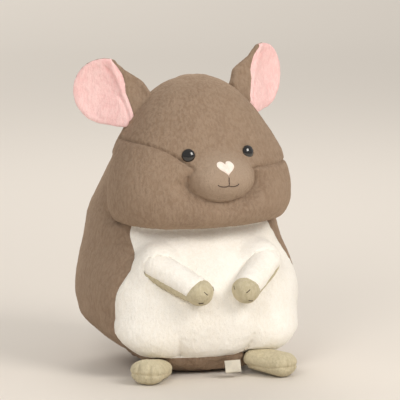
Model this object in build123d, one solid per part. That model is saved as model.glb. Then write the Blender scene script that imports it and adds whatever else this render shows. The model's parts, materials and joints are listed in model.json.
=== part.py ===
"""Sitting stuffed mouse: a big-jowled, pear-shaped plush toy with a press-to-talk voice module.

Millimetres. The toy sits on z = 0, faces -Y, and its left side is +X.
The origin is on the body's vertical axis, on the resting face of the base panel.
"""

from build123d import *
import math
import os

# ---------------------------------------------------------------- driving dimensions
SKIN = 2.4                # sewn fabric with its seam allowance
GAP = 0.4                 # clearance between neighbouring soft pieces
HEAD_TURN = 6.0           # the head looks this many degrees towards +X
NECK_Z = 176.0            # the head's lower lip, above the belly
BASE_SEAM_Z = 22.0        # the belly and back are sewn to the base panel here
BELLY_ANGLE = 58.0        # half angle of the white front, about the body's axis
FACE_PLANE_Y = 4.0        # the face panels end here, at the seam down the side of the head

# Body column: z, half width, y of the widest line, reach to the front, reach to the back
BODY_SECTIONS = [
    (0.0, 50.0, 4.0, 56.0, 48.0),
    (5.0, 66.0, 5.0, 74.0, 63.0),
    (14.0, 79.0, 6.0, 90.0, 77.0),
    (28.0, 94.0, 8.0, 105.0, 94.0),
    (50.0, 118.0, 11.0, 118.0, 117.0),
    (82.0, 130.0, 13.0, 125.0, 127.0),
    (118.0, 126.0, 19.0, 120.0, 124.0),
    (150.0, 116.0, 28.0, 100.0, 119.0),
    (182.0, 109.0, 31.0, 84.0, 113.0),
    (212.0, 97.0, 28.0, 74.0, 100.0),
    (248.0, 83.0, 19.0, 65.0, 84.0),
    (290.0, 62.0, 5.0, 50.0, 66.0),
    (328.0, 32.0, -7.0, 30.0, 38.0),
]
# Face: the same five values, in the head's own turned frame
FACE_SECTIONS = [
    (172.0, 78.0, -16.0, 56.0, 34.0),
    (178.0, 98.0, -19.0, 69.0, 44.0),
    (190.0, 109.0, -22.0, 76.0, 54.0),
    (208.0, 113.0, -23.0, 78.0, 62.0),
    (235.0, 110.5, -22.0, 73.0, 68.0),
    (263.0, 101.0, -19.0, 65.0, 70.0),
    (290.0, 84.5, -16.0, 57.0, 63.0),
    (316.0, 66.0, -13.0, 46.0, 50.0),
    (335.0, 47.0, -12.0, 35.0, 37.0),
    (345.0, 29.0, -12.0, 22.0, 24.0),
    (350.0, 12.0, -12.0, 9.0, 10.0),
]
SECTION_POWER = 2.3       # 2 is an ellipse, more is squarer
SECTION_POINTS = 12

SNOUT_CENTRE = (0.0, -70.0, 230.0)
SNOUT_RADII = (50.0, 37.0, 30.0)
HAUNCH_CENTRE = (62.0, -45.0, 51.0)
HAUNCH_RADII = (55.0, 58.0, 42.0)

CHEEK_SEAM_Z = (222.0, 289.0)  # height of the cheek seams at y = -150 and at y = 10

EYE_D = 16.0
EYE_X = 38.0
EYE_Z = 263.0
EYE_NORMAL = (0.34, -0.91, 0.22)
NOSE_Z = 250.0
NOSE_W = 20.0
MOUTH_Z = 227.0
MOUTH_W = 26.0

SHOULDER = (66.0, -80.0, 131.0)
HAND = (28.5, -124.0, 108.0)
SHOULDER_R = 19.0
HAND_R = 16.5
PAW_LENGTH = 30.0
LIMB_SKIN = 2.0
ARM_OUTWARDS = (0.5, -0.85, 0.0)
ARM_ROOM = 1.4            # clearance that lets the arm swing in its place in the body

FOOT_ANGLE = 38.0
HEEL_RADIUS_POS = 104.0   # distance of the heel's centre from the body's axis
TOE_RADIUS_POS = 146.0
HEEL_R = 11.5
TOE_R = 15.5
FOOT_WIDEN = 1.6          # a foot is this much wider than it is high
FOOT_LIFT = 15.0          # degrees that the toes can be pushed up

EAR_CENTRE = (101.0, 17.0, 335.0)
EAR_R = 40.0
EAR_ROOT_LOW = (84.5, 4.0, 292.5)
EAR_ROOT_TOP = (58.5, -12.0, 335.5)
EAR_CUP_R = 130.0
EAR_SKIN = 2.2
EAR_FILL = 3.6

TAIL_ROOT = (0.0, 133.0, 44.0)
TAIL_TIP = (0.0, 186.0, 30.0)
TAIL_ROOT_R = 16.0
TAIL_TIP_R = 12.0

LABEL_X = 18.0
LABEL_Y = -101.0
LABEL_W = 20.0
LABEL_DROP = 15.0
LABEL_TILT = -12.0

ZIP_Y = 26.0
ZIP_HALF = 52.0
ZIP_TAPE_W = 22.0
SLOT_W = 24.0
SLIDER_X = -44.0          # the slider is parked at this end

MODULE = (0.0, -52.0, 100.0)
CASE_W, CASE_D, CASE_H = 70.0, 29.0, 84.0
CASE_WALL = 2.0
POUCH_T = 1.4
BUTTON_D = 18.0
BUTTON_Z = -27.0          # the button's centre, from the module's centre
SPEAKER_D = 40.0
SPEAKER_Z = 17.0
CELL_D, CELL_L = 10.5, 44.5


# ---------------------------------------------------------------- helpers
def turned(x, y, z):
    """A point of the head's own frame, in the toy's frame."""
    angle = math.radians(HEAD_TURN)
    return (
        x * math.cos(angle) - y * math.sin(angle),
        x * math.sin(angle) + y * math.cos(angle),
        z,
    )


def mirrored(point, side):
    """The left side's point, or its twin on the right."""
    return (point[0] * side, point[1], point[2])


def section(z, half_width, centre_y, front, back, inset):
    """A closed smooth outline at one height, drawn in by the inset."""
    points = []
    for i in range(SECTION_POINTS):
        t = 2 * math.pi * i / SECTION_POINTS
        c, s = math.cos(t), math.sin(t)
        reach = (back if s > 0 else front) - inset
        x = (half_width - inset) * math.copysign(abs(c) ** (2 / SECTION_POWER), c)
        y = centre_y + reach * math.copysign(abs(s) ** (2 / SECTION_POWER), s)
        points.append((x, y, z))
    return make_face(Spline(points, periodic=True))


def stacked(sections, inset):
    """A solid through all the outlines, drawn in all round by the inset."""
    low, high = sections[0][0], sections[-1][0]
    squeeze = (high - low - 2 * inset) / (high - low)
    faces = [
        section(low + inset + (z - low) * squeeze, w, y, front, back, inset)
        for z, w, y, front, back in sections
    ]
    return loft(faces)


def ellipsoid(centre, radii, inset=0.0):
    """A stretched ball."""
    ball = scale(Sphere(1.0), by=tuple(r - inset for r in radii))
    return Pos(*centre) * ball


def capsule(start, end, start_r, end_r, extra=0.0, widen=1.0):
    """A tapered rod with ball ends; widen stretches it sideways, square to its upright plane."""
    a, b = Vector(*start), Vector(*end)
    length = (b - a).length
    lean = math.asin((start_r - end_r) / length)
    r0, r1 = start_r + extra, end_r + extra
    p0 = (r0 * math.sin(lean), r0 * math.cos(lean))
    p1 = (length + r1 * math.sin(lean), r1 * math.cos(lean))
    half = (lean + math.pi / 2) / 2
    m0 = (-r0 * math.cos(half), r0 * math.sin(half))
    quarter = (math.pi / 2 - lean) / 2
    m1 = (length + r1 * math.cos(quarter), r1 * math.sin(quarter))
    outline = [
        ThreePointArc((-r0, 0), m0, p0),
        Line(p0, p1),
        ThreePointArc(p1, m1, (length + r1, 0)),
        Line((length + r1, 0), (-r0, 0)),
    ]
    rod = revolve(make_face(Curve() + outline), Axis.X, 360)
    if widen != 1.0:
        rod = scale(rod, by=(1.0, widen, 1.0))
    along = (b - a).normalized()
    sideways = Vector(0, 0, 1).cross(along)
    return Plane(origin=start, x_dir=along, z_dir=along.cross(sideways)).location * rod


def sector(angle_from, angle_to, z_low, z_high, reach=260.0):
    """An upright wedge about the body's axis; angles run from the front (-Y) towards +X."""
    steps = max(2, int(abs(angle_to - angle_from) / 30) + 1)
    points = [(0.0, 0.0)]
    for i in range(steps + 1):
        angle = math.radians(angle_from + (angle_to - angle_from) * i / steps)
        points.append((reach * math.sin(angle), -reach * math.cos(angle)))
    face = make_face(Polyline(*points, close=True))
    return Pos(0, 0, z_low) * extrude(face, z_high - z_low)


def block(x_range, y_range, z_range):
    """A box given by its lowest and highest coordinates."""
    sizes = [high - low for low, high in (x_range, y_range, z_range)]
    centre = [(low + high) / 2 for low, high in (x_range, y_range, z_range)]
    return Pos(*centre) * Box(*sizes)


def rod(radius, start, end):
    """A plain round rod between two points."""
    a, b = Vector(*start), Vector(*end)
    place = Plane(origin=a, z_dir=(b - a)).location
    return place * Cylinder(radius, (b - a).length, align=(Align.CENTER, Align.CENTER, Align.MIN))


def in_head(shape):
    """Turns a shape made in the head's own frame to the way the head looks."""
    return Rot(0, 0, HEAD_TURN) * shape


def clean_solids(shape, smallest=1.0):
    """The shape's solids without crumbs left by a cut."""
    solids = [s for s in shape.solids() if s.volume > smallest]
    return solids[0] if len(solids) == 1 else Compound(children=solids)


def save(name, shape):
    """Writes one sub-part."""
    export_step(shape, f"parts/{name}.step")
    print(name, round(shape.volume, 1))


def foot_point(side, radius, height):
    """A point on the line of one foot."""
    angle = math.radians(FOOT_ANGLE)
    return (side * radius * math.sin(angle), -radius * math.cos(angle), height)


def foot_form(side, extra=0.0, lift=0.0):
    """One foot's outer form, with its toes pushed up by some degrees."""
    heel = foot_point(side, HEEL_RADIUS_POS, HEEL_R)
    length = TOE_RADIUS_POS - HEEL_RADIUS_POS
    climb = math.atan2(TOE_R - HEEL_R, length) + math.radians(lift)
    reach = math.hypot(length, TOE_R - HEEL_R)
    toe = foot_point(side, HEEL_RADIUS_POS + reach * math.cos(climb), HEEL_R + reach * math.sin(climb))
    return capsule(heel, toe, HEEL_R, TOE_R, extra, FOOT_WIDEN)


def arm_form(side, extra=0.0):
    """One arm's outer form."""
    return capsule(mirrored(SHOULDER, side), mirrored(HAND, side), SHOULDER_R, HAND_R, extra)


def arm_opened(side, extra, degrees):
    """The arm's form swung out of its place in the body."""
    start, hand = Vector(*SHOULDER), Vector(*HAND)
    along = (hand - start).normalized()
    hinge = along.cross(Vector(*ARM_OUTWARDS)).normalized()
    turned_hand = along.rotate(Axis((0, 0, 0), (hinge.X, hinge.Y, hinge.Z)), degrees) * (hand - start).length + start
    end = (turned_hand.X, turned_hand.Y, turned_hand.Z)
    return capsule(mirrored(SHOULDER, side), mirrored(end, side), SHOULDER_R, HAND_R, extra)


def tail_form(extra=0.0):
    """The tail's outer form."""
    return capsule(TAIL_ROOT, TAIL_TIP, TAIL_ROOT_R, TAIL_TIP_R, extra)


def toy_form(inset):
    """The whole sewn form of head and body, drawn in by the inset, with room for the limbs."""
    form = stacked(BODY_SECTIONS, inset) + in_head(face_form(inset))
    for side in (1, -1):
        form = form + ellipsoid(mirrored(HAUNCH_CENTRE, side), HAUNCH_RADII, inset)
    for side in (1, -1):
        form = form - arm_form(side, ARM_ROOM + inset)
        for lift in (0.0, FOOT_LIFT):
            form = form - foot_form(side, GAP + inset, lift)
    form = form - tail_form(GAP + inset)
    return form


# ---------------------------------------------------------------- head and body
def eye_plane(side):
    """Where an eye sits: on the face, facing outwards."""
    _, half_width, centre_y, front, _ = next(row for row in FACE_SECTIONS if row[0] == EYE_Z)
    share = (1 - (EYE_X / half_width) ** SECTION_POWER) ** (1 / SECTION_POWER)
    place = Vector(*turned(side * EYE_X, centre_y - front * share, EYE_Z))
    normal = Vector(*turned(side * EYE_NORMAL[0], EYE_NORMAL[1], EYE_NORMAL[2]))
    return Plane(origin=place, z_dir=normal)


def build_eyes(shank_r=2.2, shank_l=13.0):
    """Safety eyes: a domed head on a shank that goes through the fabric."""
    for side, name in ((1, "eye_left"), (-1, "eye_right")):
        plane = eye_plane(side)
        dome = ellipsoid((0, 0, 0.3), (EYE_D / 2, EYE_D / 2, 5.0)) & block((-9, 9), (-9, 9), (0.3, 9))
        shank = Pos(0, 0, 0.6) * Cylinder(shank_r, shank_l, align=(Align.CENTER, Align.CENTER, Align.MAX))
        save(name, plane.location * (dome + shank))
    rings = []
    for side in (1, -1):
        ring = Cylinder(8.5, 1.6) - Cylinder(shank_r + 0.05, 2.0)
        rings.append(eye_plane(side).location * (Pos(0, 0, -6.2) * ring))
    save("eye_washers", Compound(children=rings))


def eye_room(side, shank_r=2.4):
    """The space that an eye's shank and washer take in the head."""
    shaft = Pos(0, 0, 2) * Cylinder(shank_r, 16.5, align=(Align.CENTER, Align.CENTER, Align.MAX))
    washer = Pos(0, 0, -6.2) * Cylinder(9.0, 2.4)
    flange = Pos(0, 0, 5.2) * Cylinder(EYE_D / 2 + 0.3, 10.0)
    return eye_plane(side).location * (shaft + washer + flange)


def face_form(inset):
    """The face with its snout, in the head's own frame."""
    return stacked(FACE_SECTIONS, inset) + ellipsoid(SNOUT_CENTRE, SNOUT_RADII, inset)


def snout_trim(outline, thickness):
    """A thin pad on the snout, with the given outline seen from the front."""
    bar = Pos(0, -60, 0) * (Rot(90, 0, 0) * extrude(outline, 70))
    return in_head((bar & face_form(-0.15 - thickness)) - face_form(-0.15))


def build_nose_and_mouth():
    """The heart-shaped nose patch and the stitched mouth."""
    lobe = NOSE_W / 4
    heart = Pos(-lobe, lobe * 0.6) * Circle(lobe * 1.04) + Pos(lobe, lobe * 0.6) * Circle(lobe * 1.04)
    heart += make_face(Polyline((-1.93 * lobe, 0.25 * lobe), (0, -2.1 * lobe), (1.93 * lobe, 0.25 * lobe),
                                (0, lobe * 1.1), close=True))
    save("nose_heart", clean_solids(snout_trim(Pos(0, NOSE_Z) * heart, 1.2)))
    curl = MOUTH_W / 4
    arcs = []
    for side in (1, -1):
        ring = Circle(curl + 0.6) - Circle(curl - 0.6)
        lower_half = Pos(0, -curl) * Rectangle(4 * curl, 2 * curl)
        arcs.append(Pos(side * curl, MOUTH_Z + 2.2) * (ring & lower_half))
    stem = Pos(0, MOUTH_Z + 4.5) * Rectangle(1.2, 12.0)
    save("mouth_stitching", clean_solids(snout_trim(arcs[0] + arcs[1] + stem, 0.8), 0.2))


def face_cutter(gap):
    """The space of the forehead and snout panel: above the cheek seams, and round the snout."""
    low, high = CHEEK_SEAM_Z
    slope = make_face(Polyline((-150, low), (10, high), (10, 400), (-150, 400), close=True))
    above = Pos(-200, 0, 0) * (Plane.YZ.location * extrude(slope, 400))
    outline = Pos(0, SNOUT_CENTRE[2] + 2) * Ellipse(SNOUT_RADII[0] + 1 + gap, SNOUT_RADII[2] + 1 + gap)
    snout = Pos(0, -50, 0) * (Rot(90, 0, 0) * extrude(outline, 90))
    return in_head((Pos(0, 0, -gap) * above) + snout)


def build_skins(skin):
    """Cuts the sewn skin into its panels."""
    half = GAP / 2
    face_zone = block((-200, 200), (-200, FACE_PLANE_Y), (NECK_Z - 10, 400)) & stacked(FACE_SECTIONS, -1.0)
    face_zone = in_head(face_zone + ellipsoid(SNOUT_CENTRE, SNOUT_RADII, -1.0))
    face = skin & face_zone
    for side in (1, -1):
        face = face - eye_room(side)
    save("forehead_panel", clean_solids(face & face_cutter(0.0)))
    save("cheek_panel", clean_solids(face - face_cutter(half)))

    around_face = block((-200, 200), (-200, FACE_PLANE_Y + half), (NECK_Z - 10, 400))
    around_face = around_face & stacked(FACE_SECTIONS, -1.0 - half)
    around_face = in_head(around_face + ellipsoid(SNOUT_CENTRE, SNOUT_RADII, -1.0 - half))
    belly_zone = sector(-BELLY_ANGLE + 0.1, BELLY_ANGLE - 0.1, BASE_SEAM_Z + half, NECK_Z - half)
    front = (skin & belly_zone) - around_face
    for side, name in ((1, "thigh_panel_left"), (-1, "thigh_panel_right")):
        low, high = sorted((side * 24.0, side * (BELLY_ANGLE - 0.1)))
        thigh_zone = sector(low, high, BASE_SEAM_Z + half, 96.0)
        save(name, clean_solids(skin & thigh_zone))
        low, high = sorted((side * 23.8, side * (BELLY_ANGLE + 1)))
        front = front - sector(low, high, 0.0, 96.0 + half)
    for side in (1, -1):
        for degrees in (9.0, 20.0):
            front = front - arm_opened(side, ARM_ROOM, degrees)
    save("belly_panel", clean_solids(front))

    rest = skin & block((-200, 200), (-200, 200), (BASE_SEAM_Z + half, 400))
    rest = rest - sector(-BELLY_ANGLE - 0.1, BELLY_ANGLE + 0.1, 0.0, NECK_Z)
    rest = rest - around_face
    save("back_panel_left", clean_solids(rest & block((half, 300), (-300, 300), (0, 400)), 50.0))
    save("back_panel_right", clean_solids(rest & block((-300, -half), (-300, 300), (0, 400)), 50.0))

    base = skin & block((-200, 200), (-200, 200), (-1, BASE_SEAM_Z - half))
    base = base - block((-ZIP_HALF, ZIP_HALF), (ZIP_Y - SLOT_W / 2, ZIP_Y + SLOT_W / 2), (-1, 8))
    save("base_panel", clean_solids(base, 50.0))


def build_stuffing():
    """The polyester filling of the body and of the head."""
    fill = toy_form(SKIN + GAP)
    body = fill & block((-200, 200), (-200, 200), (0, NECK_Z - GAP))
    room = 1.6
    body = body - (Pos(*MODULE) * Box(
        CASE_W + 2 * POUCH_T + room, CASE_D + 2 * POUCH_T + room + 6, CASE_H + 2 * POUCH_T + room))
    body = body - block((-ZIP_HALF - 4, ZIP_HALF + 4), (ZIP_Y - 15, ZIP_Y + 15), (0, 8))
    save("body_stuffing", clean_solids(body, 50.0))
    head = fill & block((-200, 200), (-200, 200), (NECK_Z, 400))
    for side in (1, -1):
        head = head - eye_room(side)
    save("head_stuffing", clean_solids(head, 50.0))


# ---------------------------------------------------------------- limbs
def build_arms():
    """Each arm: a light outer face, a darker underside with the paw, and its stuffing."""
    for side, word in ((1, "left"), (-1, "right")):
        start, end = Vector(*mirrored(SHOULDER, side)), Vector(*mirrored(HAND, side))
        along = (end - start).normalized()
        length = (end - start).length
        across = along.cross(Vector(0, 0, 1)).normalized()
        up = across.cross(along).normalized()
        if up.Z < 0:
            up = up * -1
        frame = Plane(origin=start, x_dir=along, z_dir=up)
        shell = arm_form(side) - arm_form(side, -LIMB_SKIN)
        paw_from = length + HAND_R - PAW_LENGTH
        upper = frame.location * block((-60, paw_from), (-60, 60), (GAP / 2 - 5, 60))
        keep = frame.location * block((-60, paw_from + GAP), (-60, 60), (-GAP / 2 - 5, 60))
        save(f"arm_sleeve_{word}", clean_solids(shell & upper))
        save(f"arm_underside_{word}", clean_solids(shell - keep))
        save(f"arm_stuffing_{word}", clean_solids(arm_form(side, -LIMB_SKIN - GAP)))


def build_feet():
    """Each foot: an upper, a sole that meets the floor, and its stuffing."""
    seam_z = 9.0
    for side, word in ((1, "left"), (-1, "right")):
        floor = block((-300, 300), (-300, 300), (0, 100))
        shell = (foot_form(side) & floor) - foot_form(side, -LIMB_SKIN)
        over = block((-300, 300), (-300, 300), (seam_z + GAP / 2, 100))
        under = block((-300, 300), (-300, 300), (-1, seam_z - GAP / 2))
        save(f"foot_upper_{word}", clean_solids(shell & over))
        save(f"foot_sole_{word}", clean_solids(shell & under))
        save(f"foot_stuffing_{word}", clean_solids(foot_form(side, -LIMB_SKIN - GAP)))


def ear_frame(side):
    """The ear's plane: its centre, the way it faces, and the line of its root."""
    low = Vector(*turned(*mirrored(EAR_ROOT_LOW, side)))
    top = Vector(*turned(*mirrored(EAR_ROOT_TOP, side)))
    centre = Vector(*turned(*mirrored(EAR_CENTRE, side)))
    rise = (top - low).normalized()
    facing = (centre - (low + top) / 2).cross(rise).normalized()
    if facing.Y > 0:
        facing = facing * -1
    return low, top, centre, rise, facing


def build_ears():
    """Each ear: an outer and an inner fabric face with a thin filling, cupped towards the front."""
    for side, word in ((1, "left"), (-1, "right")):
        low, top, centre, rise, facing = ear_frame(side)
        plane = Plane(origin=centre, x_dir=rise, z_dir=facing)
        a, b = plane.to_local_coords(low), plane.to_local_coords(top)
        outline = Circle(EAR_R)
        for corner in (a, b):
            distance = math.hypot(corner.X, corner.Y)
            lean = math.acos(EAR_R / distance)
            base_angle = math.atan2(corner.Y, corner.X)
            first, second = [
                (EAR_R * math.cos(base_angle + s * lean), EAR_R * math.sin(base_angle + s * lean))
                for s in (1, -1)
            ]
            outline += make_face(Polyline((0, 0), first, (corner.X, corner.Y), second, close=True))
        outline += make_face(Polyline((0, 0), (a.X, a.Y), (b.X, b.Y), close=True))
        prism = Pos(0, 0, -30) * extrude(outline, 70)
        sag = EAR_CUP_R - math.sqrt(EAR_CUP_R**2 - 48.0**2)
        bowl = Pos(0, 0, EAR_CUP_R - sag)
        radii = [EAR_CUP_R]
        for layer in (EAR_SKIN, GAP, EAR_FILL, GAP, EAR_SKIN):
            radii.append(radii[-1] - layer)
        names = ("ear_outer", None, "ear_filling", None, "ear_inner")
        for outer_r, inner_r, name in zip(radii, radii[1:], names):
            if name is None:
                continue
            layer = bowl * (Sphere(outer_r) - Sphere(inner_r))
            save(f"{name}_{word}", clean_solids(plane.location * (prism & layer)))


def build_tail():
    """The short stuffed tail."""
    save("tail_skin", clean_solids(tail_form() - tail_form(-LIMB_SKIN)))
    save("tail_stuffing", clean_solids(tail_form(-LIMB_SKIN - GAP)))


# ---------------------------------------------------------------- trims and zip
def build_label():
    """A folded satin care label, sewn into the seam under the belly."""
    tab = block((-LABEL_W / 2, LABEL_W / 2), (-0.3, 0.3), (-LABEL_DROP, 0.0))
    save("care_label", Pos(LABEL_X, LABEL_Y, BASE_SEAM_Z - 1.0) * (Rot(LABEL_TILT, 0, 6) * tab))


def build_zip():
    """The zip that closes the base: two tapes, a row of teeth, a slider and its pull."""
    tape_z = 3.4
    tapes = []
    for side in (1, -1):
        low, high = sorted((ZIP_Y + side * 1.6, ZIP_Y + side * ZIP_TAPE_W / 2))
        tapes.append(block((-ZIP_HALF + 1, ZIP_HALF - 1), (low, high), (tape_z, tape_z + 0.8)))
    save("zip_tape", Compound(children=tapes))
    teeth = []
    pitch = 2.6
    count = int(2 * (ZIP_HALF - 4) / pitch)
    for i in range(count):
        x = -ZIP_HALF + 4 + i * pitch
        side = 1 if i % 2 else -1
        low, high = sorted((ZIP_Y + side * 0.6, ZIP_Y + side * 1.5))
        teeth.append(block((x, x + 2.0), (low, high), (tape_z - 0.6, tape_z + 1.4)))
    save("zip_teeth", Compound(children=teeth))
    x = SLIDER_X
    top_plate = block((x - 5, x + 5), (ZIP_Y - 4, ZIP_Y + 4), (tape_z + 1.7, tape_z + 2.7))
    low_plate = block((x - 5, x + 5), (ZIP_Y - 4, ZIP_Y + 4), (tape_z - 1.9, tape_z - 0.9))
    neck = block((x - 1.6, x + 1.6), (ZIP_Y - 0.35, ZIP_Y + 0.35), (tape_z - 0.95, tape_z + 1.75))
    save("zip_slider", top_plate + low_plate + neck)
    pull = block((x - 3, x + 17), (ZIP_Y - 2.6, ZIP_Y + 2.6), (0.25, tape_z - 2.1))
    pull = pull - block((x + 11, x + 15), (ZIP_Y - 1.3, ZIP_Y + 1.3), (0, 5))
    save("zip_pull", pull)


# ---------------------------------------------------------------- voice module
def at_module(shape):
    """Moves a shape made about the module's centre to its place behind the belly."""
    return Pos(*MODULE) * shape


def rounded_box(width, depth, height, corner):
    """A box with its upright edges rounded in the front view."""
    outline = RectangleRounded(width, height, corner)
    return Pos(0, depth / 2, 0) * (Rot(90, 0, 0) * extrude(outline, depth))


def front_rod(radius, x, z, y_from, y_to):
    """A round rod along Y, about the module's centre."""
    return rod(radius, (x, y_from, z), (x, y_to, z))


def build_case():
    """The two halves of the case, its battery door and its screws."""
    front_y, back_y = -CASE_D / 2, CASE_D / 2
    split = 1.0
    outer = rounded_box(CASE_W, CASE_D, CASE_H, 6)
    inner = rounded_box(CASE_W - 2 * CASE_WALL, CASE_D - 2 * CASE_WALL, CASE_H - 2 * CASE_WALL, 4.5)
    shell = outer - inner
    front = shell & block((-50, 50), (front_y - 1, split - 0.1), (-60, 60))
    back = shell & block((-50, 50), (split + 0.1, back_y + 1), (-60, 60))
    front = front - front_rod(BUTTON_D / 2 + 0.4, 0, BUTTON_Z, front_y - 1, front_y + 4)
    for ring in range(4):
        count = 1 if ring == 0 else 6 * ring
        for i in range(count):
            angle = 2 * math.pi * i / count
            x, z = 4.2 * ring * math.cos(angle), SPEAKER_Z + 4.2 * ring * math.sin(angle)
            front = front - front_rod(1.1, x, z, front_y - 1, front_y + 4)
    corners = [(sx * (CASE_W / 2 - 6.5), sz * (CASE_H / 2 - 6.5)) for sx in (1, -1) for sz in (1, -1)]
    for x, z in corners:
        front = front + (front_rod(3.2, x, z, front_y + 1, split - 0.1) - front_rod(1.15, x, z, -8, split))
        back = back + front_rod(3.2, x, z, split + 0.1, back_y - 1)
        back = back - front_rod(1.4, x, z, 0, back_y + 1) - front_rod(2.6, x, z, back_y - 2.5, back_y + 1)
    slot = block((CASE_W / 2 - 4, CASE_W / 2 + 1), (-8.0, -3.0), (-12, 0))
    front = front - slot
    bay = block((-26, 26), (back_y - 3, back_y + 1), (-19, 31))
    ledge = block((-24, 24), (back_y - 3, back_y + 1), (-17, 29))
    back = back - (bay & block((-26, 26), (back_y - 1.9, back_y + 1), (-19, 31))) - ledge
    door = block((-25.6, 25.6), (back_y - 1.6, back_y - 0.1), (-18.6, 30.6))
    for i in range(4):
        door = door + block((-8, 8), (back_y - 0.2, back_y + 0.5), (20 + 2 * i, 21 + 2 * i))
    screws = []
    for x, z in corners:
        head = front_rod(2.3, x, z, back_y - 2.4, back_y - 0.9)
        screws.append(at_module(head + front_rod(1.1, x, z, -6, back_y - 2.4)))
    return [at_module(s) for s in (front, back, door)], screws


def build_module():
    """Everything in the voice module."""
    front_y, back_y = -CASE_D / 2, CASE_D / 2
    (front, back, door), screws = build_case()
    save("case_front", front)
    save("case_back", back)
    save("battery_door", door)
    save("case_screws", Compound(children=screws))

    outer = rounded_box(CASE_W + 2 * POUCH_T + 1.2, CASE_D + 2 * POUCH_T + 5.2, CASE_H + 2 * POUCH_T + 1.2, 8)
    inner = rounded_box(CASE_W + 1.2, CASE_D + 5.2, CASE_H + 1.2, 6.6)
    save("module_pouch", at_module(outer - inner))

    board_y = -1.2
    board = block((-31, 31), (board_y - 1.6, board_y), (-39, 39))
    for sx in (1, -1):
        for sz in (1, -1):
            corner_x, corner_z = sorted((sx * 24.5, sx * 32)), sorted((sz * 31.5, sz * 40))
            board = board - block(corner_x, (-6, 4), corner_z)
    save("circuit_board", at_module(board))

    parts = [
        block((-6, 6), (board_y - 3.8, board_y - 1.7), (-8, 0)),
        block((12, 18), (board_y - 3.4, board_y - 1.7), (-30, -26)),
        block((-26, -22), (board_y - 3.2, board_y - 1.7), (-20, -12)),
        block((20, 24), (board_y - 3.2, board_y - 1.7), (-20, -16)),
        front_rod(3.0, -20, -28, board_y - 9, board_y - 1.7),
    ]
    save("board_parts", Compound(children=[at_module(p) for p in parts]))

    frame = front_rod(SPEAKER_D / 2, 0, SPEAKER_Z, front_y + 2.1, front_y + 5.6)
    frame = frame - front_rod(SPEAKER_D / 2 - 2.5, 0, SPEAKER_Z, front_y + 1, front_y + 4.8)
    frame = frame - front_rod(8.2, 0, SPEAKER_Z, front_y, front_y + 8)
    save("speaker_frame", at_module(frame))
    magnet = front_rod(8.0, 0, SPEAKER_Z, front_y + 4.9, front_y + 9.8)
    save("speaker_magnet", at_module(magnet))
    cone_profile = make_face(Polyline((0, 0.0), (17.2, 2.0), (17.2, 2.5), (0, 0.6), close=True))
    cone = revolve(cone_profile, Axis.Y, 360)
    cone = Pos(0, front_y + 4.75, SPEAKER_Z) * (Rot(180, 0, 0) * cone)
    save("speaker_cone", at_module(cone))

    cells = []
    contacts = []
    for i in (-1, 0, 1):
        x = i * 12.4
        y = back_y - 2.2 - CELL_D / 2
        end = 1 if i % 2 else -1
        middle = 6.0
        cell = rod(CELL_D / 2, (x, y, middle - CELL_L / 2 + 1), (x, y, middle + CELL_L / 2 - 1))
        low, high = sorted((middle + end * (CELL_L / 2 - 1.1), middle + end * CELL_L / 2))
        cells.append(at_module(cell + rod(2.2, (x, y, low), (x, y, high))))
        for sign in (1, -1):
            z0 = middle + sign * (CELL_L / 2 + 0.2)
            z1 = z0 + sign * 0.5
            low, high = sorted((z0, z1))
            contacts.append(at_module(block((x - 4.5, x + 4.5), (y - 4, y + 4), (low, high))))
    save("battery_cells", Compound(children=cells))
    save("battery_contacts", Compound(children=contacts))

    cap = front_rod(BUTTON_D / 2, 0, BUTTON_Z, front_y - 2.4, front_y + 2.2)
    cap = cap + front_rod(BUTTON_D / 2 + 2, 0, BUTTON_Z, front_y + 2.2, front_y + 3.4)
    cap = cap + front_rod(1.5, 0, BUTTON_Z, front_y + 3.4, front_y + 5.9)
    save("press_button", at_module(cap))
    spring_low, spring_high = front_y + 3.6, board_y - 1.8
    turns = 4
    helix = Helix(pitch=(spring_high - spring_low - 0.6) / turns, height=spring_high - spring_low - 0.6, radius=6.0)
    wire = sweep(Plane(origin=helix @ 0, z_dir=helix % 0) * Circle(0.3), path=helix)
    save("button_spring", at_module(Pos(0, spring_high - 0.3, BUTTON_Z) * (Rot(90, 0, 0) * wire)))
    switch = block((-3, 3), (board_y - 5.2, board_y - 1.7), (BUTTON_Z - 3, BUTTON_Z + 3))
    save("tact_switch", at_module(switch))

    body = block((24.5, 31.5), (-9.0, -3.0), (-12.5, 0.5))
    save("power_switch_body", at_module(body - block((30.4, 32), (-7.4, -3.6), (-11.4, -0.6))))
    knob = block((30.6, 35.4), (-6.9, -4.1), (-11.0, -6.0))
    save("power_switch_knob", at_module(knob))
    save("microphone", at_module(front_rod(3.0, 17, -34, front_y + 2.1, front_y + 6.6)))

    leads = []
    for x in (-3.0, 3.0):
        path = FilletPolyline(
            (x, front_y + 5.7, SPEAKER_Z - 12.5), (x, front_y + 8.2, SPEAKER_Z - 12.5),
            (x, front_y + 8.2, SPEAKER_Z - 15.2), (x, board_y - 1.7, SPEAKER_Z - 15.2), radius=1.2)
        leads.append(at_module(sweep(Plane(origin=path @ 0, z_dir=path % 0) * Circle(0.5), path=path)))
    save("speaker_leads", Compound(children=leads))


def main():
    """Builds every sub-part."""
    os.makedirs("parts", exist_ok=True)
    skin = toy_form(0.0) - toy_form(SKIN)
    build_skins(skin)
    build_stuffing()
    build_eyes()
    build_nose_and_mouth()
    build_arms()
    build_feet()
    build_ears()
    build_tail()
    build_label()
    build_zip()
    build_module()


main()
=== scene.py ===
"""Looks of the sitting plush mouse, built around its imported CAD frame.

Lengths are millimetres until a mesh is made; the toy faces -Y and its left side is +X.
"""

import json
import math

import bmesh
import bpy
import numpy as np
import openvdb
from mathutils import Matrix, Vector
from mathutils.bvhtree import BVHTree


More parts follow.
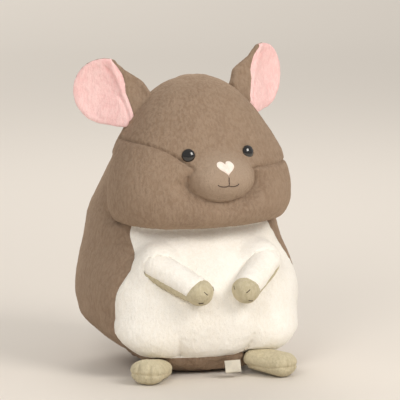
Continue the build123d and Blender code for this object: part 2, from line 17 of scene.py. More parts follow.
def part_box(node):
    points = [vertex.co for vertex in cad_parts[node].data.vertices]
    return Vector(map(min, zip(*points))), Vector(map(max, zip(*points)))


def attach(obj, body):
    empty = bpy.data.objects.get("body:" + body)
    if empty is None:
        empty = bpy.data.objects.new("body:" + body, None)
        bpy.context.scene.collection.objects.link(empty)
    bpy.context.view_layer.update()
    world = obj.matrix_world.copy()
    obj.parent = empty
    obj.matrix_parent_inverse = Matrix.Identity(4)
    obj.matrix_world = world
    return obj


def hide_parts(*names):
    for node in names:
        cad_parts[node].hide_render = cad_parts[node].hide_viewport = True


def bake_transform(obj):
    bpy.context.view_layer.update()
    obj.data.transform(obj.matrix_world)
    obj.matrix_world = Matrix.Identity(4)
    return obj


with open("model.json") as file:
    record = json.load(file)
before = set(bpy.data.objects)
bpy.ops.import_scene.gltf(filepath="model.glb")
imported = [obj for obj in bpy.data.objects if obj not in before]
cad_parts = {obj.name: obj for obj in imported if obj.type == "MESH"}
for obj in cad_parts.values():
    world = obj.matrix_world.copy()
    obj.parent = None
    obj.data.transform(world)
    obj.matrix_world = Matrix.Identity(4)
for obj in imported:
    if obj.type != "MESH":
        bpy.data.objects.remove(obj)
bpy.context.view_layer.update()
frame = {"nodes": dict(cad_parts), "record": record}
MM = 0.001

# ---------------------------------------------------------------- the toy's dimensions
HEAD_TURN = math.radians(6.0)
# rows of height, half width, y of the middle, reach to the front, reach to the back
BODY = [
    (0, 50, 4, 56, 48), (5, 66, 5, 74, 63), (14, 79, 6, 90, 77), (28, 94, 8, 105, 94),
    (50, 118, 11, 118, 117), (82, 130, 13, 125, 127), (118, 126, 19, 120, 124),
    (150, 116, 28, 100, 119), (182, 109, 31, 84, 113), (212, 97, 28, 74, 100),
    (248, 83, 19, 65, 84), (290, 62, 5, 50, 66), (328, 32, -7, 30, 38),
]
FACE = [  # in the head's own frame, as the snout, eyes, nose, mouth and ears are
    (172, 78, -16, 56, 34), (178, 98, -19, 69, 44), (190, 109, -22, 76, 54),
    (208, 113, -23, 78, 62), (235, 110.5, -22, 73, 68), (263, 101, -19, 65, 70),
    (290, 84.5, -16, 57, 63), (316, 65, -13, 46, 50), (333, 46, -12, 35, 37),
    (343, 28, -12, 22, 24), (348, 12, -12, 9, 10),
]
POWER = 2.3  # how square the outlines are: 2 would be an ellipse
SNOUT = (2, -73, 233.5), (46.5, 40, 27.5)  # middle and radii
HAUNCH = (62, -45, 51), (55, 58, 42)
SHOULDER, HAND = (66, -80, 131), (28.5, -124, 108)  # the left arm's; the right is its mirror image
SHOULDER_R, HAND_R = 19, 16.5
SHOULDER_PAD = (64, -72, 133), (24, 24, 24)
FOOT_WIDEN = 1.45  # width over height
FEET = {  # turn outwards, heel and toe distances from the middle, their radii, lift of the heel
    1: (math.radians(34), 100, 139, 13.5, 14.5, 4.0),
    -1: (math.radians(38), 104, 144, 11.5, 15.0, 0.0),
}
EAR_CENTRE = (101, 17, 335)
EAR_LOW, EAR_TOP, EAR_R = (84.5, 4, 292.5), (58.5, -12, 335.5), 40
EAR_LIFT = {1: 3.5, -1: -4.5}  # the photo's ears sit at slightly different heights
TAIL_ROOT, TAIL_TIP, TAIL_ROOT_R, TAIL_TIP_R = (0, 133, 44), (0, 186, 30), 16, 12
ARM_PRESS, FOOT_PRESS, TAIL_PRESS = 1.4, 1.0, -0.5  # how far each limb sinks into the body's skin
UNDERCUT_X, UNDERCUT_Z = 82, 23  # where the underside starts to slant up from the floor
NECK_Z, BASE_Z, FACE_PLANE_Y = 176, 22, 4  # where the fillings meet, the base seam, the face seam
BELLY_ANGLE, THIGH_ANGLE, THIGH_TOP = 58, 24, 96  # half spreads in degrees, and a height
EYE_X, EYE_Z = 38, 263
NOSE_Z, MOUTH_Z = 249.8, 230.0
MODULE_MIDDLE, MODULE_HALF = (0, -52, 100), (42, 22, 49)  # the room for the sound module
BODY_DEPTH, LIMB_DEPTH, EAR_DEPTH = 9, 4.5, 3.4  # how far under the skin the filling starts
BODY_HEM, LIMB_HEM, EAR_HEM = 2.6, 1.6, 1.4
STEP, LIMB_STEP, THIN_STEP = 4.0, 2.4, 2.2  # grid spacings


# ---------------------------------------------------------------- fields
def to_head(x, y):
    """Toy coordinates in the head's own frame."""
    c, s = math.cos(HEAD_TURN), math.sin(HEAD_TURN)
    return x * c + y * s, y * c - x * s


def from_head(x, y):
    """The head's own coordinates in the toy's frame."""
    c, s = math.cos(HEAD_TURN), math.sin(HEAD_TURN)
    return x * c - y * s, x * s + y * c


def smooth(t):
    t = np.clip(t, 0, 1)
    return t * t * (3 - 2 * t)


def ramp(v, a, b):
    """0 before a, 1 after b."""
    return smooth((v - a) / (b - a))


def join(a, b, k):
    """Union of two distance fields with a fillet of about k."""
    h = np.maximum(k - np.abs(a - b), 0) / k
    return np.minimum(a, b) - h * h * k / 4


def carve(a, b, k):
    """a without b, with a rounded rim."""
    return -join(-a, b, k)


def widths(rows, z):
    """Half width, centre, front and back reach of a column at each height."""
    r = np.array(rows, float)
    zs = r[:, 0]
    slope = np.gradient(r[:, 1:], zs, axis=0)
    zc = np.clip(z, zs[0], zs[-1])
    i = np.clip(np.searchsorted(zs, zc, side="right") - 1, 0, len(zs) - 2)
    gap = zs[i + 1] - zs[i]
    t = (zc - zs[i]) / gap
    a = 2 * t**3 - 3 * t**2 + 1
    b, c = (t**3 - 2 * t**2 + t) * gap, (t**3 - t**2) * gap
    return [
        a * r[i, k + 1] + (1 - a) * r[i + 1, k + 1] + b * slope[i, k] + c * slope[i + 1, k]
        for k in range(4)
    ]


def column(x, y, z, rows):
    """A standing form whose outline changes with height."""
    w, centre, front, back = widths(rows, z)
    reach = np.where(y < centre, front, back)
    rho = (np.abs(x / w) ** POWER + np.abs((y - centre) / reach) ** POWER) ** (1 / POWER)
    side = (rho - 1) * np.minimum(w, reach)
    return np.maximum(side, np.maximum(rows[0][0] - z, z - rows[-1][0]))


def ball(x, y, z, centre, radii):
    """An ellipsoid."""
    a = [(v - c) / r for v, c, r in zip((x, y, z), centre, radii)]
    k0 = np.sqrt(sum(v * v for v in a))
    k1 = np.sqrt(sum((v / r) ** 2 for v, r in zip(a, radii)))
    return k0 * (k0 - 1) / np.maximum(k1, 1e-9)


def limb(x, y, z, start, end, r0, r1, widen=1.0):
    """A tapered rod with round ends, which can be wider than it is deep."""
    a, b = np.array(start, float), np.array(end, float)
    d = b - a
    q = [x - a[0], y - a[1], z - a[2]]
    if widen != 1.0:
        side = np.array((-d[1], d[0], 0)) / math.hypot(d[0], d[1])
        across = q[0] * side[0] + q[1] * side[1]
        cut = across * (1 - 1 / widen)
        q = [q[0] - cut * side[0], q[1] - cut * side[1], q[2]]
    t = np.clip((q[0] * d[0] + q[1] * d[1] + q[2] * d[2]) / (d @ d), 0, 1)
    away = np.sqrt(sum((q[k] - t * d[k]) ** 2 for k in range(3)))
    return away - (r0 + (r1 - r0) * t)


class Grid:
    """A block of space cut into cubes, with its fields."""

    def __init__(self, low, high, step):
        self.low, self.step = np.array(low, float), step
        axes = [np.arange(a, b + step, step) for a, b in zip(low, high)]
        self.x, self.y, self.z = np.meshgrid(*axes, indexing="ij")

    def even(self, f):
        """The field scaled so that it grows by one per millimetre."""
        slope = np.sqrt(sum(d * d for d in np.gradient(f, self.step)))
        return f / np.maximum(slope, 0.35)

    def at(self, f, p):
        """The field's value at each point."""
        q = (p - self.low) / self.step
        q = np.clip(q, 0, np.array(f.shape) - 1.001)
        i = q.astype(int)
        t = q - i
        out = 0
        for k in range(8):
            o = (k & 1, k >> 1 & 1, k >> 2)
            w = np.prod([t[:, n] if o[n] else 1 - t[:, n] for n in range(3)], axis=0)
            out = out + w * f[i[:, 0] + o[0], i[:, 1] + o[1], i[:, 2] + o[2]]
        return out

    def surface(self, name, f):
        """A quad mesh of the field's zero, in metres."""
        g = openvdb.FloatGrid(9.0)
        g.copyFromArray(np.clip(f, -9, 9).astype(np.float32))
        points, quads = g.convertToQuads(0.0)
        p = self.low + np.array(points, float) * self.step
        q = without_crumbs(np.array(quads, int), len(p))
        used, q = np.unique(q, return_inverse=True)
        p, q = p[used], q.reshape(-1, 4)
        a, b, c, d = (p[q[:, k]] for k in range(4))
        volume = np.einsum("ij,ij->", a, np.cross(b, c)) + np.einsum("ij,ij->", a, np.cross(c, d))
        if volume < 0:
            q = q[:, ::-1]
        return make_object(name, p, q)


def without_crumbs(q, count, least=100):
    """The faces that aren't part of a tiny loose island."""
    label = np.arange(count)
    while True:
        lower = label.copy()
        np.minimum.at(lower, q, label[q].min(1)[:, None])
        lower = lower[lower]
        if (lower == label).all():
            break
        label = lower
    island = label[q[:, 0]]
    return q[np.bincount(island, minlength=count)[island] >= least]


def make_object(name, p, faces):
    """A smooth-shaded mesh object from points in millimetres."""
    mesh = bpy.data.meshes.new(name)
    mesh.from_pydata((np.asarray(p) * MM).tolist(), [], [list(map(int, f)) for f in faces])
    mesh.validate()
    mesh.polygons.foreach_set("use_smooth", np.ones(len(mesh.polygons), bool))
    ob = bpy.data.objects.new(name, mesh)
    bpy.context.scene.collection.objects.link(ob)
    return ob


def points_of(ob):
    p = np.empty(len(ob.data.vertices) * 3)
    ob.data.vertices.foreach_get("co", p)
    return p.reshape(-1, 3) / MM


def set_points(ob, p):
    ob.data.vertices.foreach_set("co", (np.asarray(p) * MM).ravel())
    ob.data.update()


def normals_of(ob):
    n = np.empty(len(ob.data.vertices) * 3, np.float32)
    ob.data.vertex_normals.foreach_get("vector", n)
    return n.reshape(-1, 3).astype(float)


def apply_modifiers(ob):
    """Swaps the object's mesh for what its modifiers make of it."""
    deps = bpy.context.evaluated_depsgraph_get()
    deps.update()
    mesh = bpy.data.meshes.new_from_object(ob.evaluated_get(deps))
    ob.modifiers.clear()
    old, ob.data = ob.data, mesh
    bpy.data.meshes.remove(old)
    ob.data.polygons.foreach_set("use_smooth", np.ones(len(ob.data.polygons), bool))


def subdivide(ob):
    mod = ob.modifiers.new("finer", "SUBSURF")
    mod.levels = mod.render_levels = 1
    mod.uv_smooth = "NONE"
    apply_modifiers(ob)


CELLS = 32
TABLE = np.random.default_rng(7).random((CELLS, CELLS, CELLS)) * 2 - 1


def rough(p, size, shift=0.0):
    """Smooth noise from -1 to 1, with bumps about that far apart."""
    q = np.asarray(p) / size + 31.7 + shift
    i = np.floor(q).astype(int)
    t = q - i
    t = t * t * (3 - 2 * t)
    out = 0
    for k in range(8):
        o = (k & 1, k >> 1 & 1, k >> 2)
        w = np.prod([t[:, n] if o[n] else 1 - t[:, n] for n in range(3)], axis=0)
        j = [(i[:, n] + o[n]) % CELLS for n in range(3)]
        out = out + w * TABLE[j[0], j[1], j[2]]
    return out


def fabric_pile(p):
    """The lie of a short pile: small uneven tufts."""
    return 0.28 * rough(p, 11) + 0.2 * rough(p, 5.5, 3.3) + 0.12 * rough(p, 3.0, 8.1)


def pinned(distance, near=2.0, far=6.0):
    """1 along a seam, fading to 0 a few millimetres away from it."""
    return 1 - ramp(np.abs(distance), near, far)


def weights(ob, name, values):
    """A vertex group from values of 0 to 1, in tenths."""
    group = ob.vertex_groups.new(name=name)
    for level in range(1, 11):
        at = np.flatnonzero(np.round(values * 10) == level)
        if len(at):
            group.add(at.tolist(), level / 10, "REPLACE")


def puff(ob, held, pressure, cap, loose=None, stretch=0.0):
    """Cloth simulation: stuffing pushes the fabric out between the points that are held."""
    frames = 20
    rest = points_of(ob)
    weights(ob, "held", held)
    mod = ob.modifiers.new("cloth", "CLOTH")
    s = mod.settings
    s.quality = 5
    s.mass = 0.04
    s.tension_stiffness = s.compression_stiffness = 12.0
    s.shear_stiffness = 5
    s.bending_stiffness = 0.4
    s.use_pressure = True
    s.uniform_pressure_force = pressure
    s.vertex_group_mass = "held"
    s.effector_weights.gravity = 0
    mod.collision_settings.use_collision = False
    if loose is not None:
        weights(ob, "loose", loose)
        s.vertex_group_shrink = "loose"
        s.shrink_min = 0.0
        s.shrink_max = -stretch
    mod.point_cache.frame_start = 1
    mod.point_cache.frame_end = frames
    scene = bpy.context.scene
    for f in range(1, frames + 1):
        scene.frame_set(f)
    apply_modifiers(ob)
    scene.frame_set(1)
    moved = points_of(ob) - rest
    size = np.linalg.norm(moved, axis=1, keepdims=True)
    set_points(ob, rest + moved * np.minimum(1, cap / np.maximum(size, 1e-9)))
    ob.vertex_groups.clear()


def cut(ob, seam, where=None):
    """Adds edges to the mesh where the seam's value is zero."""
    mesh = ob.data
    keep = mesh.attributes.new("keep", "FLOAT_VECTOR", "POINT")
    p = points_of(ob)
    keep.data.foreach_set("vector", p.ravel())
    bent = p.copy()
    bent[:, 2] = seam(p)
    set_points(ob, bent)
    bm = bmesh.new()
    bm.from_mesh(mesh)
    geom = bm.verts[:] + bm.edges[:] + bm.faces[:]
    if where is not None:
        chosen = where(p)
        faces = [f for f in bm.faces if all(chosen[v.index] for v in f.verts)]
        verts, edges = {v for f in faces for v in f.verts}, {e for f in faces for e in f.edges}
        geom = list(verts) + list(edges) + faces
    bmesh.ops.bisect_plane(bm, geom=geom, dist=0.1 * MM, plane_co=(0, 0, 0), plane_no=(0, 0, 1))
    bm.to_mesh(mesh)
    bm.free()
    q = np.empty(len(mesh.vertices) * 3, np.float32)
    mesh.attributes["keep"].data.foreach_get("vector", q)
    mesh.attributes.remove(mesh.attributes["keep"])
    set_points(ob, q.reshape(-1, 3))


def centres_of(ob):
    c = np.empty(len(ob.data.polygons) * 3)
    ob.data.polygons.foreach_get("center", c)
    return c.reshape(-1, 3) / MM


def part(ob, name, chosen, hem):
    """The chosen faces as a piece of their own, its edge turned in by the hem."""
    mesh = ob.data
    p, n = points_of(ob), normals_of(ob)
    total = np.empty(len(mesh.polygons), int)
    start = np.empty(len(mesh.polygons), int)
    corner = np.empty(len(mesh.loops), int)
    mesh.polygons.foreach_get("loop_total", total)
    mesh.polygons.foreach_get("loop_start", start)
    mesh.loops.foreach_get("vertex_index", corner)
    faces = [corner[s:s + t] for s, t in zip(start[chosen], total[chosen])]
    edges = {}
    for f in faces:
        for a, b in zip(f, np.roll(f, -1)):
            key = (a, b) if a < b else (b, a)
            edges[key] = None if key in edges else (a, b)
    rim = [e for e in edges.values() if e is not None]
    used = np.unique(np.concatenate(faces))
    new = {v: i for i, v in enumerate(used)}
    points = [p[used]]
    out = [[new[v] for v in f] for f in faces]
    if rim:
        rim_points = sorted({v for e in rim for v in e})
        under = {v: len(used) + i for i, v in enumerate(rim_points)}
        points.append(p[rim_points] - n[rim_points] * hem)
        out += [[new[b], new[a], under[a], under[b]] for a, b in rim]
        n = np.concatenate([n[used], n[rim_points]])
    else:
        n = n[used]
    piece = make_object(name, np.concatenate(points), out)
    piece.data.normals_split_custom_set_from_vertices(n.tolist())
    return piece


# ---------------------------------------------------------------- materials
def shader(name):
    mat = bpy.data.materials.new(name)
    mat.use_nodes = True
    nodes, links = mat.node_tree.nodes, mat.node_tree.links
    return mat, nodes, links, nodes["Principled BSDF"]


def srgb(r, g, b):
    """A colour given as 0 to 255 per channel, as the shader takes it."""
    def linear(v):
        v = v / 255
        return v / 12.92 if v <= 0.04045 else ((v + 0.055) / 1.055) ** 2.4
    return (linear(r), linear(g), linear(b), 1)


def noise(nodes, links, place, scale, detail=2.0, rough_=0.5, stretch=(1, 1, 1)):
    """The output of a noise texture over the toy's own coordinates."""
    mapping = nodes.new("ShaderNodeMapping")
    mapping.inputs["Scale"].default_value = stretch
    tex = nodes.new("ShaderNodeTexNoise")
    tex.inputs["Scale"].default_value = scale
    tex.inputs["Detail"].default_value = detail
    tex.inputs["Roughness"].default_value = rough_
    links.new(place, mapping.inputs["Vector"])
    links.new(mapping.outputs["Vector"], tex.inputs["Vector"])
    return tex.outputs["Fac"]


def spread(nodes, links, value, low, high, to_low=0.0, to_high=1.0):
    """The value taken from low..high to a new range, held at its ends."""
    node = nodes.new("ShaderNodeMapRange")
    node.interpolation_type = "SMOOTHSTEP"
    node.inputs["From Min"].default_value = low
    node.inputs["From Max"].default_value = high
    node.inputs["To Min"].default_value = to_low
    node.inputs["To Max"].default_value = to_high
    links.new(value, node.inputs["Value"])
    return node.outputs["Result"]


def mixed(nodes, links, factor, a, b):
    """Two colours mixed by a value."""
    node = nodes.new("ShaderNodeMix")
    node.data_type = "RGBA"
    links.new(factor, node.inputs["Factor"])
    for colour, socket in ((a, node.inputs["A"]), (b, node.inputs["B"])):
        if isinstance(colour, tuple):
            socket.default_value = colour
        else:
            links.new(colour, socket)
    return node.outputs["Result"]


def bumped(nodes, links, bsdf, layers):
    """Stacks bump layers: value, strength, depth in millimetres."""
    normal = None
    for value, strength, depth in layers:
        bump = nodes.new("ShaderNodeBump")
        bump.inputs["Strength"].default_value = strength
        bump.inputs["Distance"].default_value = depth * MM
        links.new(value, bump.inputs["Height"])
        if normal is not None:
            links.new(normal, bump.inputs["Normal"])
        normal = bump.outputs["Normal"]
    links.new(normal, bsdf.inputs["Normal"])


def plush(name, colour, dark, light, sheen=0.5, pile=1.0, patch=26.0, painted_light_at=None):
    """Short pile, laid by brushing: patches lying different ways, tufts and fibre ends.

    Where a spot is given, in millimetres, the colour is paler round it: a painted highlight.
    """
    mat, nodes, links, bsdf = shader(name)
    place = nodes.new("ShaderNodeTexCoord").outputs["Object"]
    lie = noise(nodes, links, place, patch, 2, 0.5, (1, 1, 0.6))
    patches = spread(nodes, links, lie, 0.3, 0.7, 0.25, 1)
    tufts = noise(nodes, links, place, 300, 2, 0.6, (1, 1, 0.45))
    tufts = spread(nodes, links, tufts, 0.25, 0.75)
    fibres = noise(nodes, links, place, 1500, 2, 0.6, (1, 1, 0.35))
    base = mixed(nodes, links, patches, srgb(*dark), srgb(*colour))
    # painted highlight: the colour is mixed towards the light tone round the given spot
    if painted_light_at:
        away = nodes.new("ShaderNodeVectorMath")
        away.operation = "DISTANCE"
        away.inputs[1].default_value = Vector(painted_light_at) * MM
        links.new(place, away.inputs[0])
        painted_light = spread(nodes, links, away.outputs["Value"], 0.022, 0.052, 0.7, 0)
        base = mixed(nodes, links, painted_light, base, srgb(*light))
    lit = mixed(nodes, links, spread(nodes, links, tufts, 0, 1, 0, 0.35), base, srgb(*light))
    gaps = spread(nodes, links, fibres, 0.25, 0.5, 0.35, 0)
    shade = mixed(nodes, links, gaps, lit, srgb(*[v * 0.8 for v in dark]))
    links.new(shade, bsdf.inputs["Base Color"])
    bsdf.inputs["Roughness"].default_value = 0.92
    bsdf.inputs["Specular IOR Level"].default_value = 0.15
    bsdf.inputs["Sheen Weight"].default_value = sheen
    bsdf.inputs["Sheen Roughness"].default_value = 0.55
    bsdf.inputs["Sheen Tint"].default_value = srgb(*light)
    bumped(nodes, links, bsdf, [(tufts, 0.5 * pile, 1.2), (fibres, 0.6 * pile, 0.5)])
    return mat


def moulded(name, colour, rough_=0.4, grain=0.25, coat=0.0, metal=0.0, scale=900.0):
    """Plastic, rubber or metal with a fine grain and faint handling marks."""
    mat, nodes, links, bsdf = shader(name)
    place = nodes.new("ShaderNodeTexCoord").outputs["Object"]
    marks = noise(nodes, links, place, 60, 4)
    fine = noise(nodes, links, place, scale, 2)
    darker = srgb(*[v * 0.86 for v in colour])
    tone = mixed(nodes, links, spread(nodes, links, marks, 0.35, 0.7), srgb(*colour), darker)
    links.new(tone, bsdf.inputs["Base Color"])
    worn = spread(nodes, links, marks, 0.3, 0.7, rough_ * 0.85, min(1, rough_ * 1.2))
    links.new(worn, bsdf.inputs["Roughness"])
    bsdf.inputs["Metallic"].default_value = metal
    bsdf.inputs["Coat Weight"].default_value = coat
    bsdf.inputs["Coat Roughness"].default_value = 0.08
    bumped(nodes, links, bsdf, [(fine, grain, 0.15)])
    return mat


def woven(name, colour, pitch=1.1, rough_=0.7, sheen=0.2):
    """A plain weave, from two crossed wave patterns."""
    mat, nodes, links, bsdf = shader(name)
    place = nodes.new("ShaderNodeTexCoord").outputs["Object"]
    waves = []
    for axis in ("X", "Z"):
        wave = nodes.new("ShaderNodeTexWave")
        wave.bands_direction = axis
        wave.inputs["Scale"].default_value = 314 / pitch / 2
        wave.inputs["Distortion"].default_value = 0.6
        links.new(place, wave.inputs["Vector"])
        waves.append(wave.outputs["Fac"])
    both = nodes.new("ShaderNodeMath")
    both.operation = "MULTIPLY"
    links.new(waves[0], both.inputs[0])
    links.new(waves[1], both.inputs[1])
    stain = noise(nodes, links, place, 45, 3)
    stained, shaded = (srgb(*[v * share for v in colour]) for share in (0.88, 0.6))
    tone = mixed(nodes, links, spread(nodes, links, stain, 0.3, 0.7), srgb(*colour), stained)
    gaps = spread(nodes, links, both.outputs[0], 0, 0.5, 0.4, 0)
    links.new(mixed(nodes, links, gaps, tone, shaded), bsdf.inputs["Base Color"])
    bsdf.inputs["Roughness"].default_value = rough_
    bsdf.inputs["Sheen Weight"].default_value = sheen
    bumped(nodes, links, bsdf, [(both.outputs[0], 0.4, 0.2)])
    return mat


GREYS = (146, 124, 104), (134, 112, 93), (172, 152, 133)
GREY = plush("grey_minky", *GREYS)
# the forehead and snout panel, with a painted highlight round the snout
MUZZLE_PAINTED_LIGHT = plush("grey_minky_muzzle_painted_light", *GREYS, painted_light_at=(14, -114, 238))
WHITE = plush("white_minky", (251, 247, 239), (243, 237, 226), (255, 253, 248), sheen=0.3, pile=0.8)
KHAKI = plush("khaki_minky", (200, 189, 159), (178, 167, 138), (222, 212, 186), sheen=0.4)
PINK = plush("pink_velboa", (241, 200, 197), (238, 188, 186), (255, 228, 224), sheen=0.35, pile=0.6)
FIBRE = plush("polyfill", (238, 236, 230), (214, 212, 206), (250, 249, 246), sheen=0.2, patch=60.0)


def dress(ob, mat, body="torso", replaces=()):
    """Material, body, and the CAD nodes it stands for."""
    ob.data.materials.clear()
    ob.data.materials.append(mat)
    if body:
        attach(ob, body)
    if replaces:
        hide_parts(*replaces)
    return ob


# ---------------------------------------------------------------- head and body
def mirrored(p, side):
    return (p[0] * side, p[1], p[2])


def foot_ends(side):
    """The middles and radii of a foot's heel and toe balls."""
    turn, heel_at, toe_at, heel_r, toe_r, lift = FEET[side]
    x, y = side * math.sin(turn), -math.cos(turn)
    return (x * heel_at, y * heel_at, heel_r + lift), (x * toe_at, y * toe_at, toe_r), heel_r, toe_r


def arm_ends(side):
    """The middles and radii of an arm's shoulder and hand balls."""
    return mirrored(SHOULDER, side), mirrored(HAND, side), SHOULDER_R, HAND_R


space = Grid((-152, -148, -10), (152, 160, 362), STEP)
X, Y, Z = space.x, space.y, space.z
HX, HY = to_head(X, Y)
face_field = space.even(column(HX, HY, Z, FACE))
snout_field = ball(HX, HY, Z, *SNOUT)
SNOUT_X, _, SNOUT_Z = SNOUT[0]
# the face draws in below the snout, and head and body draw apart at the nape
ridge = (np.hypot((HX - SNOUT_X) / 47.5, (Z - SNOUT_Z) / 28.5) - 1) * 33
under = (1 - ramp(Z, 226, 244)) * ramp(-HY, 60, 85)
face_field = face_field + 9.0 * np.exp(-((ridge - 2) / 7) ** 2) * under
nape = ramp(Z, 168, 186) * (1 - ramp(Z, 232, 262))
face_field = face_field + 10.5 * nape * ramp(HY, -10, 10)
head_field = join(face_field, snout_field, 1.5 + 15 * ramp(Z, 228, 252))
body_field = space.even(column(X, Y, Z, BODY))
for side in (1, -1):
    body_field = join(body_field, ball(X, Y, Z, mirrored(HAUNCH[0], side), HAUNCH[1]), 12)
    body_field = join(body_field, ball(X, Y, Z, mirrored(SHOULDER_PAD[0], side), SHOULDER_PAD[1]), 18)
body_field = body_field + 12.0 * nape * np.exp(-((HY - 4) / 12) ** 2)
toy = join(head_field, body_field, 2.5)
for side in (1, -1):
    toy = carve(toy, limb(X, Y, Z, *arm_ends(side)) + ARM_PRESS, 1.5)
    toy = carve(toy, limb(X, Y, Z, *foot_ends(side), FOOT_WIDEN) + FOOT_PRESS, 3)
toy = carve(toy, limb(X, Y, Z, TAIL_ROOT, TAIL_TIP, TAIL_ROOT_R, TAIL_TIP_R) + TAIL_PRESS, 4)
toy = carve(toy, 0.8 * (Z - UNDERCUT_Z) - 0.6 * (np.abs(X) - UNDERCUT_X), 8)
toy = np.maximum(toy, -Z)


def angle_of(p):
    """Degrees round the body from the front, both ways."""
    return np.degrees(np.arctan2(np.abs(p[:, 0]), -p[:, 1]))


def girth(p):
    """Distance from the toy's upright axis."""
    return np.hypot(p[:, 0], p[:, 1])


def face_seam(p):
    """Below zero on the face and snout panels."""
    _, hy = to_head(p[:, 0], p[:, 1])
    edge = space.at(head_field, p) - space.at(body_field, p)
    plane = FACE_PLANE_Y + 9 * (1 - ramp(p[:, 2], 228, 262))
    return np.maximum(np.maximum(edge, hy - plane), 168 - p[:, 2])


def cheek_seam(p):
    """Below zero on the forehead and snout panel."""
    hx, hy = to_head(p[:, 0], p[:, 1])
    out = 1 - np.clip((np.abs(hx) - 30) / 71, 0, 1)
    slope = np.where(hx < 0, 278 - 33 * out**2, 246 - out) - p[:, 2]
    snout = (np.hypot((hx - SNOUT_X) / 45, (p[:, 2] - SNOUT_Z) / 28) - 1) * 34
    snout = np.where(hy < -55, snout, 50)
    return np.minimum(slope, snout)


def belly_seam(p):
    """Below zero on the white front."""
    z = p[:, 2]
    haunch = 4.5 * ramp(z, 30, 60) * (1 - ramp(z, 95, 128))
    neck = ramp(z, 134, 172)
    limit = BELLY_ANGLE + haunch - 1.5 * ramp(z, 118, 130)
    limit = limit + np.where(p[:, 0] > 0, 19 - 3 * neck, 12.5 * neck)
    return np.radians(angle_of(p) - limit) * girth(p)


def base_seam(p):
    """Below zero on the base."""
    return p[:, 2] - BASE_Z - 0.5 * np.sin(p[:, 0] / 23.0)


def thigh_seam(p):
    """Below zero on the belly between and above the thighs."""
    return np.minimum(np.radians(angle_of(p) - THIGH_ANGLE) * girth(p), THIGH_TOP - p[:, 2])


def back_seam(p):
    """Zero down the middle of the back."""
    return p[:, 0]


def panel_seams(p):
    return tuple(seam(p) for seam in (face_seam, cheek_seam, belly_seam, base_seam, thigh_seam))


def groove(value, depth, width, spill=0.0, reach=7.0):
    """How far a sewn seam draws the fabric in at that distance from it."""
    return depth * np.exp(-(value / width) ** 2) + spill * np.exp(-(value / reach) ** 2)


